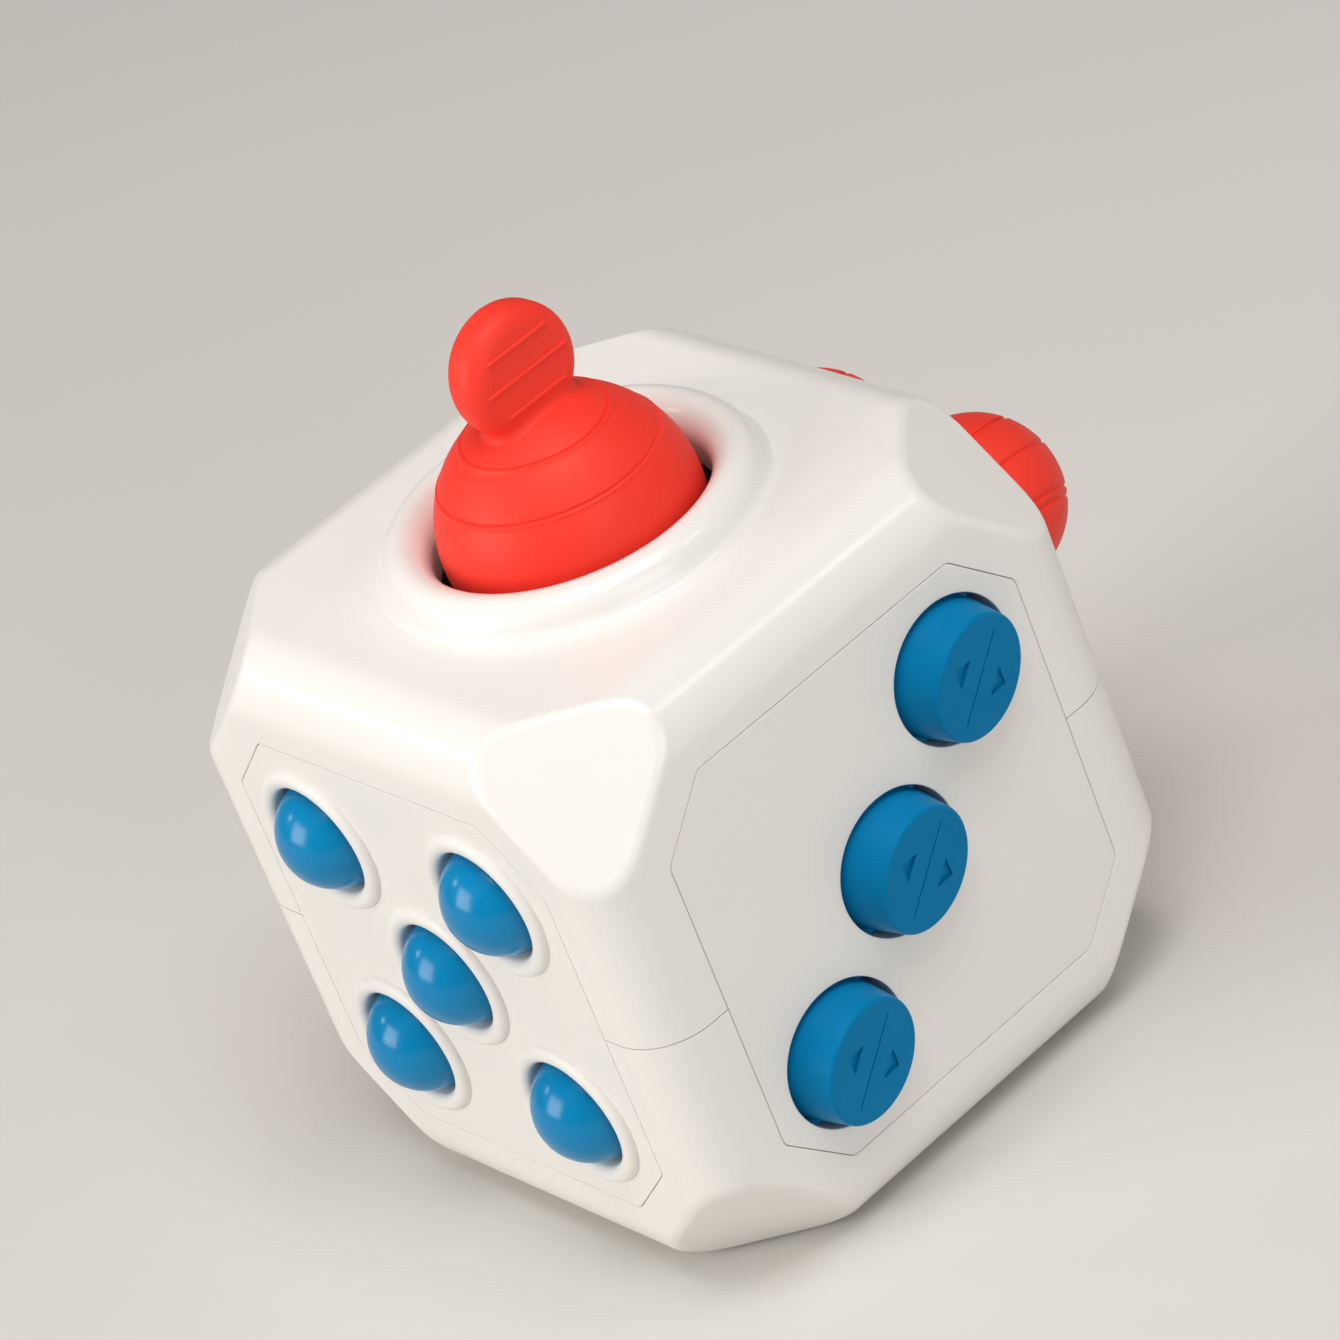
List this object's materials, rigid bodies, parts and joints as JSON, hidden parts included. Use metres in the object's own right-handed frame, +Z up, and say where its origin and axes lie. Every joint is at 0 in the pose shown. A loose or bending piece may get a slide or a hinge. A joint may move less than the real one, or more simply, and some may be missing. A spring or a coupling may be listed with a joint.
{
  "type": "fidget cube",
  "caption": "Desk toy cube with a different control on each side: sprung joystick, push buttons, rockers, spinning ball knobs and slide switches in a two-part plastic case.",
  "frame": {"origin": "middle of the flat bottom face", "axes": "+Z up through the joystick, -Y out of the button face, +X out of the rocker face, +Y out of the ball knob face"},
  "size_m": [0.0671, 0.076, 0.0828],
  "materials": {
    "white_shell": "moulded, satin gloss",
    "white_panel": "moulded, satin gloss",
    "red_joystick": "moulded, satin",
    "red_knob": "moulded, satin",
    "red_slider": "moulded, satin",
    "blue_button": "moulded, glossy",
    "blue_rocker": "moulded, satin",
    "inner_plastic": "plain moulded",
    "steel": "plated",
    "spring_steel": "drawn wire"
  },
  "bodies": {
    "case": {"upper_shell": "white_shell", "lower_shell": "white_shell", "button_panel": "white_panel", "rocker_panel": "white_panel", "knob_panel": "white_panel", "slider_panel": "white_panel", "base_panel": "white_panel", "joystick_seat": "inner_plastic", "joystick_spring": "spring_steel", "case_screw_1": "steel", "case_screw_2": "steel", "case_screw_3": "steel", "case_screw_4": "steel", "button_plate": "inner_plastic", "button_screw_1": "steel", "button_screw_2": "steel", "button_spring_1": "spring_steel", "button_spring_2": "spring_steel", "button_spring_3": "spring_steel", "button_spring_4": "spring_steel", "button_spring_5": "spring_steel", "rocker_axle": "blue_rocker", "rocker_plate": "inner_plastic", "rocker_screw_1": "steel", "rocker_screw_2": "steel"},
    "joystick_gimbal": {"joystick_cross": "steel"},
    "joystick": {"joystick_knob": "red_joystick"},
    "button_1": {"button_1": "blue_button"},
    "button_2": {"button_2": "blue_button"},
    "button_3": {"button_3": "blue_button"},
    "button_4": {"button_4": "blue_button"},
    "button_5": {"button_5": "blue_button"},
    "rocker_1": {"rocker_1": "blue_rocker"},
    "rocker_2": {"rocker_2": "blue_rocker"},
    "rocker_3": {"rocker_3": "blue_rocker"},
    "ball_knob_1": {"ball_knob_1": "red_knob", "knob_retainer_1": "steel"},
    "ball_knob_2": {"ball_knob_2": "red_knob", "knob_retainer_2": "steel"},
    "slider_1": {"slider_1": "red_slider", "slider_foot_1": "steel"},
    "slider_2": {"slider_2": "red_slider", "slider_foot_2": "steel"}
  },
  "joints": [
    {"name": "joystick_tilt_x", "type": "hinge", "parent": "case", "child": "joystick_gimbal", "pos_m": [0, 0, 0.0604], "axis": [1, 0, 0], "range_deg": [-18, 18], "stiffness_Nm_per_rad": 0.04, "deforming": ["joystick_spring"]},
    {"name": "joystick_tilt_y", "type": "hinge", "parent": "joystick_gimbal", "child": "joystick", "pos_m": [0, 0, 0.0604], "axis": [0, 1, 0], "range_deg": [-18, 18], "stiffness_Nm_per_rad": 0.04, "deforming": ["joystick_spring"]},
    {"name": "button_1_press", "type": "slide", "parent": "case", "child": "button_1", "axis": [0, 1, 0], "range_m": [0, 0.0018], "stiffness_N_per_m": 250, "springref_m": -0.002, "deforming": ["button_spring_1"]},
    {"name": "button_2_press", "type": "slide", "parent": "case", "child": "button_2", "axis": [0, 1, 0], "range_m": [0, 0.0018], "stiffness_N_per_m": 250, "springref_m": -0.002, "deforming": ["button_spring_2"]},
    {"name": "button_3_press", "type": "slide", "parent": "case", "child": "button_3", "axis": [0, 1, 0], "range_m": [0, 0.0018], "stiffness_N_per_m": 250, "springref_m": -0.002, "deforming": ["button_spring_3"]},
    {"name": "button_4_press", "type": "slide", "parent": "case", "child": "button_4", "axis": [0, 1, 0], "range_m": [0, 0.0018], "stiffness_N_per_m": 250, "springref_m": -0.002, "deforming": ["button_spring_4"]},
    {"name": "button_5_press", "type": "slide", "parent": "case", "child": "button_5", "axis": [0, 1, 0], "range_m": [0, 0.0018], "stiffness_N_per_m": 250, "springref_m": -0.002, "deforming": ["button_spring_5"]},
    {"name": "rocker_1_rock", "type": "hinge", "parent": "case", "child": "rocker_1", "pos_m": [0.028, 0.01244, 0.04244], "axis": [0, 0.7071, 0.7071], "range_deg": [-20, 0]},
    {"name": "rocker_2_rock", "type": "hinge", "parent": "case", "child": "rocker_2", "pos_m": [0.028, 0, 0.03], "axis": [0, 0.7071, 0.7071], "range_deg": [-20, 0]},
    {"name": "rocker_3_rock", "type": "hinge", "parent": "case", "child": "rocker_3", "pos_m": [0.028, -0.01244, 0.01756], "axis": [0, 0.7071, 0.7071], "range_deg": [-20, 0]},
    {"name": "ball_knob_1_spin", "type": "hinge", "parent": "case", "child": "ball_knob_1", "pos_m": [0.01095, 0.03, 0.04095], "axis": [0, 1, 0], "continuous": true},
    {"name": "ball_knob_2_spin", "type": "hinge", "parent": "case", "child": "ball_knob_2", "pos_m": [-0.01095, 0.03, 0.04095], "axis": [0, 1, 0], "continuous": true},
    {"name": "slider_1_slide", "type": "slide", "parent": "case", "child": "slider_1", "axis": [0, 0, -1], "range_m": [0, 0.014]},
    {"name": "slider_2_slide", "type": "slide", "parent": "case", "child": "slider_2", "axis": [0, 0, 1], "range_m": [0, 0.014]}
  ]
}
